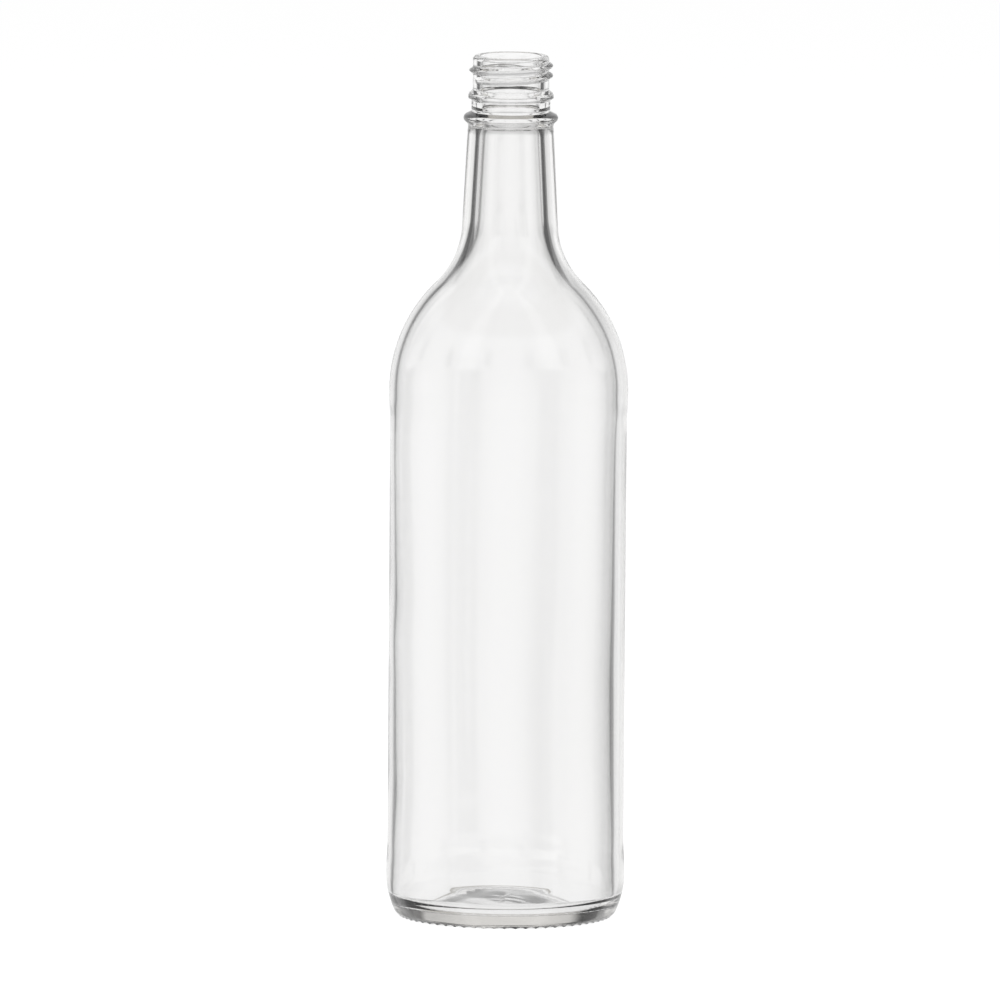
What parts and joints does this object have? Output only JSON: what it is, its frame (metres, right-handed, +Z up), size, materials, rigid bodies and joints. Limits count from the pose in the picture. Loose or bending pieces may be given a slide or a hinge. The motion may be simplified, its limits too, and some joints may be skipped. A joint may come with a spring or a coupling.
{
  "type": "empty glass liquor bottle",
  "caption": "Tall round clear glass bottle with a domed shoulder, tapering neck, transfer bead, locking ring and screw thread; empty, open, without cap or label.",
  "frame": {"origin": "centre of the plane that the base knurls stand on", "axes": "+Z up along the bottle's axis to the rim; the front view looks along +Y with +X to the right"},
  "size_m": [0.0782, 0.0782, 0.2827],
  "materials": {
    "clear_glass": "clear flint glass, polished, colourless with a faint warm grey edge"
  },
  "bodies": {
    "root": {"bottle": "clear_glass"}
  },
  "joints": []
}
